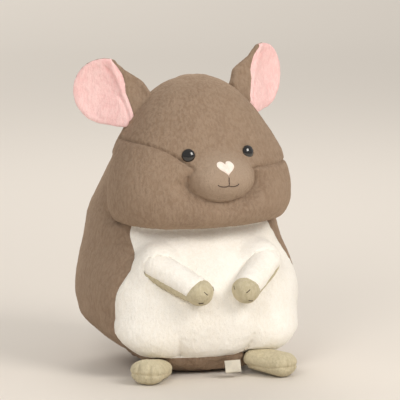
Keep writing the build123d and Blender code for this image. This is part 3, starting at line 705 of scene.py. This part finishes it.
def build_body():
    """The sewn skin, stuffed and cut into its panels."""
    ob = space.surface("toy", toy)
    p, off = points_of(ob), np.where
    face, cheek, belly, base, _ = panel_seams(p)
    on_face = face < 0
    held = pinned(face)
    held = np.maximum(held, off(on_face, pinned(cheek), 0))
    held = np.maximum(held, off(~on_face, pinned(belly), 0))
    held = np.maximum(held, off(~on_face, pinned(base), 0))
    held = np.maximum(held, 1 - ramp(p[:, 2], 1, 6))
    hx, hy = to_head(p[:, 0], p[:, 1])
    eye = np.minimum(np.hypot(hx - EYE_X, p[:, 2] - EYE_Z), np.hypot(hx + EYE_X, p[:, 2] - EYE_Z))
    held = np.maximum(held, off(hy < -50, 1 - ramp(eye, 9, 18), 0))
    near = np.full(len(p), 99.0)
    for side in (1, -1):
        near = np.minimum(near, limb(*p.T, *arm_ends(side)))
        near = np.minimum(near, limb(*p.T, *foot_ends(side), FOOT_WIDEN))
    held = np.maximum(held, 1 - ramp(near, 2, 6))
    loose = ramp(angle_of(p), 50, 75) * (1 - ramp(p[:, 2], 60, 130)) + 0.35
    puff(ob, held, 6.0, 4.0, np.clip(loose, 0, 1), stretch=0.05)
    subdivide(ob)
    cut(ob, face_seam, lambda q: q[:, 2] > 160)
    cut(ob, base_seam, lambda q: q[:, 2] < 40)
    cut(ob, belly_seam, lambda q: (face_seam(q) > -2) & (q[:, 2] > 14) & (angle_of(q) < 105))
    cut(ob, cheek_seam, lambda q: face_seam(q) < 2)
    cut(ob, thigh_seam, lambda q: (belly_seam(q) < 2) & (q[:, 2] < 104) & (q[:, 2] > 14))
    cut(ob, back_seam, lambda q: (face_seam(q) > -2) & (angle_of(q) > 80))

    # the seams draw in and pucker, and the loose cloth low down creases
    p, n = points_of(ob), normals_of(ob)
    face, cheek, belly, base, thigh = panel_seams(p)
    on_face, z = face < 0.5, p[:, 2]
    hx, hy = to_head(p[:, 0], p[:, 1])
    jowl = 1 - ramp(z, 236, 264)
    sink = off(z > 160, groove(face, 1.0, 2.0, 0.8) * (1 + 2.0 * jowl), 0)
    snug = np.exp(-((np.abs(hx) - 46) / 14) ** 2) * off(hy < -50, 1, 0)
    sink = sink + off(on_face, groove(cheek, 2.6, 1.5, 0.9, 6) * (1 + 0.5 * snug), 0)
    body = off(on_face, 0, 1)
    sink = sink + body * off(z > BASE_Z, groove(belly, 1.2, 2.0, 1.2), 0)
    sink = sink + body * groove(base, 1.4, 2.2, 1.6)
    low_thigh = off((belly < 0) & (z > BASE_Z), 1 - ramp(z, 28, 64), 0)
    sink = sink + low_thigh * groove(thigh, 2.4, 3.0, 2.4, 9)
    sink = sink + body * off(belly > 2, groove(p[:, 0], 1.2, 2.0, 0.8), 0) * off(base > 0, 1, 0)
    seam = np.minimum(np.minimum(off(z > 160, np.abs(face), 99), off(on_face, np.abs(cheek), 99)),
                      off(~on_face, np.minimum(np.abs(belly), np.abs(base)), 99))
    gathers = 0.7 * rough(p, 4.5, 1.7) + 0.5 * rough(p, 8, 5.1)
    pucker = np.exp(-seam / 6) * gathers * (0.35 + 0.65 * ramp(z, 26, 40))
    back = off((belly > 0) & ~on_face, 1.0, 0)
    folds = back * (1 - ramp(z, 40, 110)) * ramp(z, 2, 12)
    turn = np.degrees(np.arctan2(p[:, 0], -p[:, 1]))
    lines = np.stack([turn * 0.55 + z * 0.5, z * 0.6 - turn * 0.2, girth(p) * 0.2], 1)
    crumple = 1.6 * folds * rough(lines, 9.0)
    wrinkled = off(base < 0, 2.2, 0) * ramp(-base, 1, 7) * ramp(z, 1, 6)
    crumple = crumple + wrinkled * (rough(p * (1, 1, 1.6), 13, 2.2) + 0.5 * rough(p, 7, 4.2))
    lifted = ramp(z, 0.3, 4)
    q = p + n * (fabric_pile(p) + pucker + crumple - sink)[:, None] * lifted[:, None]
    q[:, 2] = np.maximum(q[:, 2], 0.0)
    # each face's panel is chosen from where it was before that, so the cut lines stay clean
    c = centres_of(ob)
    set_points(ob, q)
    face, cheek, belly, base, thigh = panel_seams(c)
    face = face < 0
    base = ~face & (base < 0)
    front = ~face & ~base & (belly < 0) & (c[:, 2] < 180)
    rest = ~face & ~base & ~front
    leg = front & (thigh > 0)
    panels = [
        ("forehead", face & (cheek < 0), MUZZLE_PAINTED_LIGHT, "grey_minky", ["forehead_panel"], 0.8),
        ("cheeks", face & (cheek >= 0), GREY, "grey_minky", ["cheek_panel"], 0.8),
        ("back_left", rest & (c[:, 0] > 0), GREY, "grey_minky", ["back_panel_left"], 0.8),
        ("back_right", rest & (c[:, 0] <= 0), GREY, "grey_minky", ["back_panel_right"], 0.8),
        ("belly", front & ~leg, WHITE, "white_minky", ["belly_panel"], 0.85),
        ("thigh_left", leg & (c[:, 0] > 0), WHITE, "white_minky", ["thigh_panel_left"], 0.85),
        ("thigh_right", leg & (c[:, 0] <= 0), WHITE, "white_minky", ["thigh_panel_right"], 0.85),
        ("base", base, GREY, "grey_minky", ["base_panel"], 0.7),
    ]
    made = {}
    for name, chosen, mat, slot, nodes, fill in panels:
        made[name] = part(ob, name, chosen, BODY_HEM)
        dress(made[name], mat, "torso", nodes)
    bpy.data.objects.remove(ob)
    return made


def build_filling():
    """Loose polyester fibre inside the body and the head."""
    x, y, z = (np.abs(v - m) - h for v, m, h in zip((X, Y, Z), MODULE_MIDDLE, MODULE_HALF))
    box = np.maximum(np.maximum(x, y), z)
    inner = toy + BODY_DEPTH
    lumps = 1.5 * rough(np.stack([X.ravel(), Y.ravel(), Z.ravel()], 1), 14).reshape(X.shape)
    for name, field, node in (
        ("filling_body", np.maximum(np.maximum(inner, Z - NECK_Z + 3), -box), "body_stuffing"),
        ("filling_head", np.maximum(inner, NECK_Z + 3 - Z), "head_stuffing"),
    ):
        ob = space.surface(name, field + lumps)
        dress(ob, FIBRE, "torso", [node])


# ---------------------------------------------------------------- limbs
def unit(v):
    v = np.array(v, float)
    return v / np.linalg.norm(v)


def build_arm(side, word):
    """A white sleeve over a khaki underside and paw, with stitch marks and filling."""
    a, b = np.array(mirrored(SHOULDER, side), float), np.array(mirrored(HAND, side), float)
    along = unit(b - a)
    length = np.linalg.norm(b - a)
    across = unit(np.cross(along, (0, 0, 1)))
    up = unit(np.cross(across, along))
    up = up if up[2] > 0 else -up
    low, high = np.minimum(a, b) - 26, np.maximum(a, b) + 26
    g = Grid(low, high, LIMB_STEP)
    f = limb(g.x, g.y, g.z, a, b, SHOULDER_R, HAND_R)
    ob = g.surface("arm", f)
    outwards = across if across[0] * side > 0 else -across
    below = unit(outwards * 0.35 - up * 0.9)

    def lower(p):
        return (p - a) @ below - 12.5

    def paw(p):
        t = (p - a) @ along
        return (length + HAND_R - 22) - t + 0.25 * ((p - a) @ up)

    def under(p):
        """Below zero on the darker underside and paw."""
        return np.minimum(-lower(p), paw(p))

    p = points_of(ob)
    held = np.maximum(pinned(under(p), 1.5, 4), 1 - ramp((p - a) @ along, 0, 14))
    puff(ob, held, 6.0, 2.0)
    subdivide(ob)
    cut(ob, under)
    p, n = points_of(ob), normals_of(ob)
    s = under(p)
    pucker = np.exp(-np.abs(s) / 4) * 0.5 * rough(p, 3.6, 4.4)
    move = 0.8 * fabric_pile(p) - groove(s, 1.0, 1.6, 0.5, 5) + pucker
    move += 0.5 * rough(np.stack([((p - a) @ along) * 1.6, (p - a) @ up, (p - a) @ across], 1), 9, 6.0)
    c = under(centres_of(ob))
    set_points(ob, p + n * move[:, None])
    body = "arm_" + word
    for name, chosen, mat, slot, node in (
        ("sleeve_" + word, c > 0, WHITE, "white_minky", "arm_sleeve_" + word),
        ("paw_" + word, c <= 0, KHAKI, "khaki_minky", "arm_underside_" + word),
    ):
        piece = dress(part(ob, name, chosen, LIMB_HEM), mat, None, [node])
        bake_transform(piece)
    bpy.data.objects.remove(ob)
    marks = []
    for turn, far in ((-0.7, 0.62), (0.6, 0.5), (2.4, 0.66)):
        line = []
        for k in range(6):
            lean = far + 0.075 * k
            aside = outwards * math.cos(turn) + up * math.sin(turn)
            way = along * math.cos(lean) + aside * math.sin(lean)
            line.append(b + way * (HAND_R + 0.1))
        marks.append(line)
    stitches = thread("paw_stitches_" + word, marks, 0.5, THREAD)
    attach(stitches, body)
    lumps = 0.6 * np.sin(g.x / 3) * np.sin(g.z / 3)
    inside = g.surface("filling_arm_" + word, f + LIMB_DEPTH + lumps)
    dress(inside, FIBRE, None, ["arm_stuffing_" + word])
    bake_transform(inside)


def build_foot(side, word):
    """A flat-soled foot with three toes drawn in by stitching."""
    heel, toe, heel_r, toe_r = foot_ends(side)
    heel, toe = np.array(heel, float), np.array(toe, float)
    along = unit((toe - heel) * (1, 1, 0))
    across = np.array((-along[1], along[0], 0))
    g = Grid(np.minimum(heel, toe) - (34, 34, 14), np.maximum(heel, toe) + (34, 34, 22), THIN_STEP)
    f = limb(g.x, g.y, g.z, heel, toe, heel_r, toe_r, FOOT_WIDEN)
    f = np.maximum(f, 0.4 - g.z)
    ob = g.surface("foot", f)

    def sole(p):
        """Below zero under the seam round the foot."""
        return p[:, 2] - 10.5 - 2.5 * ramp((p - heel) @ along, 20, 50)

    p = points_of(ob)
    held = np.maximum(pinned(sole(p), 1.5, 4), 1 - ramp(p[:, 2], 1, 3))
    puff(ob, held, 6.0, 2.0)
    subdivide(ob)
    cut(ob, sole)
    p, n = points_of(ob), normals_of(ob)
    s = sole(p)
    t, v = (p - heel) @ along, (p - heel) @ across
    toes = ramp(t, 44, 56) * (np.exp(-((v - 7.5) / 2.2) ** 2) + np.exp(-((v + 7.5) / 2.2) ** 2)) * 2.6
    pucker = np.exp(-np.abs(s) / 4) * 0.6 * rough(p, 3.8, 4.4)
    move = 0.8 * fabric_pile(p) - groove(s, 1.2, 1.7, 0.8, 6) + pucker - toes
    q = p + n * (move * ramp(p[:, 2], 0.5, 3))[:, None]
    q[:, 2] = np.maximum(q[:, 2], 0.2)
    c = sole(centres_of(ob))
    set_points(ob, q)
    for name, chosen, node in (
        ("foot_top_" + word, c > 0, "foot_upper_" + word),
        ("foot_base_" + word, c <= 0, "foot_sole_" + word),
    ):
        dress(part(ob, name, chosen, LIMB_HEM), KHAKI, "foot_" + word, [node])
    bpy.data.objects.remove(ob)
    inside = g.surface("filling_foot_" + word, f + LIMB_DEPTH)
    dress(inside, FIBRE, "foot_" + word, ["foot_stuffing_" + word])


def build_ear(side, word):
    """A cupped ear: pink inside, grey outside, its inner edge folded forward into a lip."""
    centre, low, top = (np.array(v, float) for v in (EAR_CENTRE, EAR_LOW, EAR_TOP))
    rise = unit(top - low)
    facing = unit(np.cross(centre - (low + top) / 2, rise))
    facing = facing if facing[1] < 0 else -facing
    across = np.cross(facing, rise)
    g = Grid((-50, -48, -34), (50, 58, 20), THIN_STEP)
    x, y, z = g.x, g.y, g.z

    def lip(x, y):
        """How far a point is past the folded inner edge."""
        t = -0.527 * (x - 16) + 0.849 * (y - 13)
        return 0.849 * (x - 34) + 0.527 * (y + 16) + 0.8 - 4.0 * np.maximum(0, 1 - ((t + 12) / 20) ** 2)

    def middle(x, y):
        """The height of the cup's middle surface."""
        r2 = x * x + y * y
        return -5.0 + r2 / 250 - 14 * ramp(lip(x, y), -3, 20)

    outline = np.full(x.shape, -99.0)
    for k in range(64):
        n = (math.cos(math.tau * k / 64), math.sin(math.tau * k / 64))
        reach = max(EAR_R, -19 * n[0] + 47 * n[1], 28 * n[0] + 47 * n[1])
        outline = np.maximum(outline, x * n[0] + y * n[1] - reach)
    web = 36 - 2.5 * ramp(y, -14, 4) * (1 - ramp(y, 20, 36)) + 2 * ramp(y, 20, 50)
    outline = carve(outline, web - x, 4)
    thick = 3.8 + 1.6 * ramp(y, 0, 40)
    f = carve(outline, -(np.abs(z - middle(x, y)) - thick), 5)
    ridge = limb(x, y, z, (33, -14, 1), (15, 10, -1), 3.4, 3.6)
    ridge = np.minimum(ridge, limb(x, y, z, (15, 10, -1), (-2, 40, -3), 3.6, 3.4))
    f = join(f, ridge, 4)
    f = join(f, limb(x, y, z, (12, 14, -10), (10, 46, -12), 6, 13), 8)
    f = g.even(f)

    def inner(p):
        """Below zero on the pink face."""
        return np.maximum(lip(p[:, 0], p[:, 1]) - 2.5, middle(p[:, 0], p[:, 1]) + 0.3 - p[:, 2])

    def place(p):
        """The ear's own coordinates in the toy's frame."""
        h = centre + p[:, :1] * rise + p[:, 1:2] * across + p[:, 2:] * facing
        hx, hy = from_head(h[:, 0] * side, h[:, 1])
        return np.stack([hx, hy, h[:, 2] + EAR_LIFT[side]], 1)

    ob = g.surface("ear", f)
    p = points_of(ob)
    held = np.maximum(pinned(inner(p), 1.5, 4), ramp(p[:, 1], 34, 42))
    puff(ob, held, 5.0, 1.5)
    subdivide(ob)
    cut(ob, inner)
    p, n = points_of(ob), normals_of(ob)
    s = inner(p)
    fold = lip(p[:, 0], p[:, 1]) + 4.5 + 5.5 * (1 - ramp(p[:, 1], -10, 30))
    crease = np.where(s < 0, 2.0 * np.exp(-(fold / 1.8) ** 2) * ramp(p[:, 1], -24, -10), 0)
    pucker = np.exp(-np.abs(s) / 3) * 0.4 * rough(p, 3.6, 4.4)
    move = 0.7 * fabric_pile(p) - groove(s, 0.9, 1.5, 0.3, 5) + pucker - crease
    c = inner(centres_of(ob))
    set_points(ob, p + n * move[:, None])
    for name, chosen, mat, slot, node in (
        ("ear_back_" + word, c > 0, GREY, "grey_minky", "ear_outer_" + word),
        ("ear_front_" + word, c <= 0, PINK, "pink_velboa", "ear_inner_" + word),
    ):
        piece = part(ob, name, chosen, EAR_HEM)
        settle(piece, place, side)
        dress(piece, mat, None, [node])
        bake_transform(piece)
    bpy.data.objects.remove(ob)
    inside = g.surface("filling_ear_" + word, f + EAR_DEPTH)
    settle(inside, place, side)
    dress(inside, FIBRE, None, ["ear_filling_" + word])
    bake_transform(inside)


def settle(ob, place, side):
    """Takes a mesh from its own coordinates to the toy's, mirrored for the right side."""
    set_points(ob, place(points_of(ob)))
    if side < 0:
        ob.data.flip_normals()


def build_tail():
    """A stuffed tube lying on the floor, sewn along its underside."""
    a, b = np.array(TAIL_ROOT, float), np.array(TAIL_TIP, float)
    g = Grid(np.minimum(a, b) - 22, np.maximum(a, b) + 22, LIMB_STEP)
    f = np.maximum(limb(g.x, g.y, g.z, a, b, TAIL_ROOT_R, TAIL_TIP_R), 0.5 - g.z)
    ob = g.surface("tail", f)
    subdivide(ob)
    p, n = points_of(ob), normals_of(ob)
    move = fabric_pile(p) - np.where(p[:, 2] < a[2] - 8, groove(p[:, 0], 1.2, 2.0), 0)
    set_points(ob, p + n * move[:, None])
    dress(ob, GREY, None, ["tail_skin"])
    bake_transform(ob)
    inside = g.surface("filling_tail", f + LIMB_DEPTH)
    dress(inside, FIBRE, None, ["tail_stuffing"])
    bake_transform(inside)


# ---------------------------------------------------------------- face details and trims
def build_nose(skin):
    """A padded heart sewn on the snout."""
    rings, spokes = 9, 64
    p, faces = [], []
    for k in range(1, rings + 1):
        share = k / rings
        for i in range(spokes):
            t = math.tau * i / spokes
            u = math.sin(t) ** 3
            v = (13 * math.cos(t) - 5 * math.cos(2 * t) - 2 * math.cos(3 * t) - math.cos(4 * t)) / 17
            height = 2.0 * math.sqrt(max(0, 1 - share**5)) - 0.5
            p.append(on_snout(skin, 11.0 * u * share, NOSE_Z + 9.4 * v * share, height))
    for k in range(rings - 1):
        for i in range(spokes):
            j = (i + 1) % spokes
            a, b = k * spokes, (k + 1) * spokes
            faces.append([a + i, a + j, b + j, b + i])
    faces.append(list(range(spokes))[::-1])
    ob = make_object("nose", p, faces)
    dress(ob, NOSE, "torso", ["nose_heart"])


def on_snout(skin, x, z, height):
    """The point on the face in front of head coordinates x, z, raised by the height."""
    fx, fy = from_head(x, -160.0)
    dx, dy = from_head(0.0, 1.0)
    hit, normal, _, _ = skin.ray_cast(Vector((fx, fy, z)) * MM, Vector((dx, dy, 0)))
    return np.array(hit) / MM - np.array((dx, dy, 0)) * height


def thread(name, lines, radius, mat, sides=8):
    """Round thread along each line of points."""
    p, faces = [], []
    for line in lines:
        line = np.array(line, float)
        step = np.gradient(line, axis=0)
        base = len(p)
        for k, (at, d) in enumerate(zip(line, step)):
            d = unit(d)
            u = unit(np.cross(d, (0.3, 1, 0.2)))
            v = np.cross(d, u)
            thin = radius * (0.55 if k in (0, len(line) - 1) else 1 + 0.12 * math.sin(k * 1.9))
            for i in range(sides):
                t = math.tau * i / sides
                p.append(at + thin * (u * math.cos(t) + v * math.sin(t)))
        for k in range(len(line) - 1):
            for i in range(sides):
                j = (i + 1) % sides
                a, b = base + k * sides, base + (k + 1) * sides
                faces.append([a + i, a + j, b + j, b + i])
        faces.append([base + i for i in range(sides)][::-1])
        faces.append([base + (len(line) - 1) * sides + i for i in range(sides)])
    ob = make_object(name, p, faces)
    ob.data.materials.append(mat)
    return ob


def build_mouth(skin):
    """A stem below the nose and two lips, in dark thread."""
    lines = [[on_snout(skin, 0.15 * math.sin(k), MOUTH_Z + 9.5 - k, 0.1) for k in range(10)]]
    for side in (1, -1):
        arc = []
        for k in range(13):
            t = math.pi * k / 12
            z = MOUTH_Z - 2.4 * math.sin(t) + 1.2 * k / 12
            arc.append(on_snout(skin, side * 6.5 * (1 - math.cos(t)), z, 0.1))
        lines.append(arc)
    ob = thread("mouth", lines, 0.55, THREAD)
    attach(ob, "torso")
    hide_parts("mouth_stitching")


def build_label():
    """A blank folded satin label hanging from the seam under the belly."""
    rows, cols = 17, 9
    p, faces = [], []
    for k in range(rows):
        t = k / (rows - 1)
        drop = 15 * (1 - abs(2 * t - 1))
        for i in range(cols):
            u = (i / (cols - 1) - 0.5) * 20
            gap = (0.5 + 0.5 * math.sin(math.pi * t)) * (1 if t > 0.5 else -1) * 0.7
            curl = 0.6 * math.sin(u * 0.25 + 1) * drop / 15
            p.append((u, gap + curl, -drop))
    for k in range(rows - 1):
        for i in range(cols - 1):
            a = k * cols + i
            faces.append([a, a + 1, a + cols + 1, a + cols])
    ob = make_object("label", p, faces)
    q = points_of(ob)
    tilt, turn = math.radians(-14), math.radians(6)
    y = q[:, 1] * math.cos(tilt) - q[:, 2] * math.sin(tilt)
    z = q[:, 1] * math.sin(tilt) + q[:, 2] * math.cos(tilt)
    x = q[:, 0] * math.cos(turn) - y * math.sin(turn)
    y = q[:, 0] * math.sin(turn) + y * math.cos(turn)
    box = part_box("care_label")
    mid = (box[0] + box[1]) / 2 / MM
    set_points(ob, np.stack([x + mid[0], y + mid[1] - 2.5, z + box[1][2] / MM], 1))
    dress(ob, SATIN, "torso", ["care_label"])


NOSE = plush("nose_felt", (250, 238, 226), (240, 220, 208), (255, 250, 244), sheen=0.2, pile=0.5, patch=90)
THREAD = moulded("dark_thread", (74, 58, 50), 0.8, 0.5)
SATIN = woven("label_satin", (232, 224, 206), 0.5, 0.45, 0.1)
PLAIN = {
    "eye_plastic": moulded("eye_plastic", (14, 11, 10), 0.12, 0.02, 1.0),
    "washer_plastic": moulded("washer_plastic", (225, 224, 218), 0.5),
    "zip_fabric": woven("zip_fabric", (120, 104, 92), 0.8),
    "zip_nylon": moulded("zip_nylon", (112, 98, 88), 0.45),
    "zip_metal": moulded("zip_metal", (168, 164, 156), 0.32, 0.15, 0, 1.0),
    "pouch_fabric": woven("pouch_fabric", (214, 208, 196), 1.0),
    "case_plastic": moulded("case_plastic", (232, 230, 224), 0.45),
    "button_plastic": moulded("button_plastic", (196, 74, 60), 0.35),
    "board_green": moulded("board_green", (34, 92, 58), 0.35, 0.1, 0.4),
    "chip_black": moulded("chip_black", (28, 28, 30), 0.5),
    "plated_steel": moulded("plated_steel", (186, 188, 190), 0.28, 0.1, 0, 1.0),
    "cone_paper": moulded("cone_paper", (48, 46, 44), 0.85, 0.5),
    "cell_jacket": moulded("cell_jacket", (70, 84, 110), 0.35, 0.1, 0.3),
    "lead_wire": moulded("lead_wire", (170, 40, 36), 0.45),
    "dark_thread": THREAD, "label_satin": SATIN, "nose_felt": NOSE,
    "grey_minky": GREY, "white_minky": WHITE, "khaki_minky": KHAKI, "pink_velboa": PINK, "polyfill": FIBRE,
}


def dress_cad():
    """Every CAD node that still shows gets the finish of its slot."""
    slots = {s["node"]: s["material_slot"] for s in frame["record"]["subparts"]}
    for name, ob in frame["nodes"].items():
        mat = PLAIN[slots[name]]
        ob.data.materials.clear()
        ob.data.materials.append(mat)


# ---------------------------------------------------------------- studio
def build_studio():
    """A pale floor and four soft lights. Only the key shows in the eyes, as in the photo."""
    reach = 12000
    corners = [(-reach, -reach, 0), (reach, -reach, 0), (reach, reach, 0), (-reach, reach, 0)]
    floor = make_object("floor", corners, [[0, 1, 2, 3]])
    paper, _, _, bsdf = shader("paper")
    bsdf.inputs["Base Color"].default_value = srgb(222, 215, 206)
    bsdf.inputs["Roughness"].default_value = 0.9
    floor.data.materials.append(paper)
    bpy.context.scene.view_settings.view_transform = "Standard"
    world = bpy.data.worlds.new("studio")
    bpy.context.scene.world = world
    world.use_nodes = True
    world.node_tree.nodes["Background"].inputs["Color"].default_value = (0.95, 0.93, 0.9, 1)
    world.node_tree.nodes["Background"].inputs["Strength"].default_value = 0.45
    aim = Vector((0, 0, 0.16))
    for name, place, size, power, colour in (
        ("key", (0.9, -1.4, 1.3), 0.9, 21, (1, 0.955, 0.9)),
        ("fill", (-1.1, -1.6, 1.3), 0.7, 15, (1, 0.98, 0.95)),
        ("rim", (0.5, 1.4, 1.5), 1.0, 10, (1, 0.97, 0.94)),
        ("wash", (0, 4.2, 2.8), 4.0, 90, (1, 0.98, 0.95)),
    ):
        lamp = bpy.data.lights.new(name, "AREA")
        lamp.size, lamp.energy, lamp.color = size, power, colour
        ob = bpy.data.objects.new(name, lamp)
        bpy.context.scene.collection.objects.link(ob)
        ob.location = place
        ob.visible_glossy = name == "key"
        ob.rotation_mode = "QUATERNION"
        ob.rotation_quaternion = (Vector(place) - aim).to_track_quat("Z", "Y")


def build_camera():
    """A long lens from far off, as flat as the photo: low, and from the toy's right."""
    azimuth, elevation, distance = math.radians(-18), math.radians(9), 6.0
    level = math.cos(elevation)
    back = Vector((math.sin(azimuth) * level, -math.cos(azimuth) * level, math.sin(elevation)))
    right = Vector((math.cos(azimuth), math.sin(azimuth), 0))
    target = Vector((0, 0, 0.1965)) + right * 0.0118
    data = bpy.data.cameras.new("camera")
    data.lens = 455.45
    data.clip_start, data.clip_end = 0.1, 20
    cam = bpy.data.objects.new("camera", data)
    bpy.context.scene.collection.objects.link(cam)
    cam.location = target + back * distance
    cam.rotation_mode = "QUATERNION"
    cam.rotation_quaternion = back.to_track_quat("Z", "Y")
    bpy.context.scene.camera = cam


dress_cad()
panels = build_body()
build_filling()
skin = BVHTree.FromObject(panels["forehead"], bpy.context.evaluated_depsgraph_get())
build_nose(skin)
build_mouth(skin)
for side, word in ((1, "left"), (-1, "right")):
    build_arm(side, word)
    build_foot(side, word)
    build_ear(side, word)
build_tail()
build_label()
build_studio()
build_camera()
bpy.context.view_layer.update()
